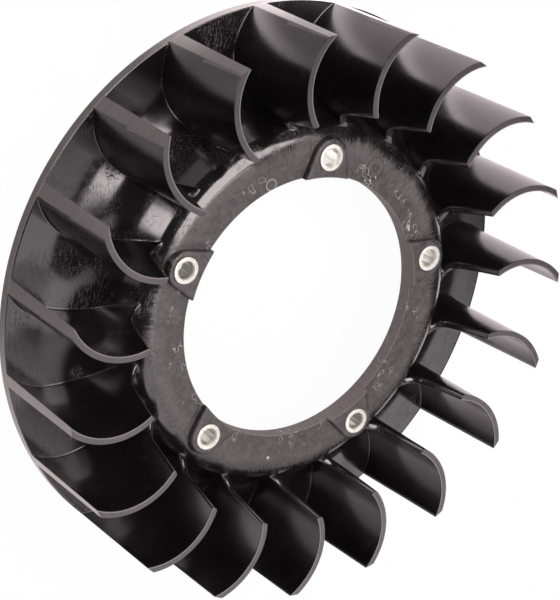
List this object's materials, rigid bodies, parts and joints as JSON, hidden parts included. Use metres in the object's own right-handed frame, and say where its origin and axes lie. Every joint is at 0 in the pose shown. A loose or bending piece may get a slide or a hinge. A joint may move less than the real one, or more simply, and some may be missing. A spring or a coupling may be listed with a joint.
{
  "type": "engine cooling fan",
  "caption": "Black moulded cooling fan for an air-cooled engine: curved vanes rise from a bowl-shaped backplate round an open hub with steel bolt sleeves.",
  "frame": {"origin": "on the fan's axis, at the plane of the rim's back face, which the fan rests on", "axes": "+Z runs along the axis to the vanes' front edges, +X points at the first sleeve"},
  "size_m": [0.22, 0.22, 0.0502],
  "materials": {
    "moulding": "glass-filled nylon, glossy as moulded, matt where it is turned to size",
    "sleeve": "steel with a pale zinc coat"
  },
  "bodies": {
    "root": {"impeller": "moulding", "sleeve_1": "sleeve", "sleeve_2": "sleeve", "sleeve_3": "sleeve", "sleeve_4": "sleeve", "sleeve_5": "sleeve"}
  },
  "joints": []
}
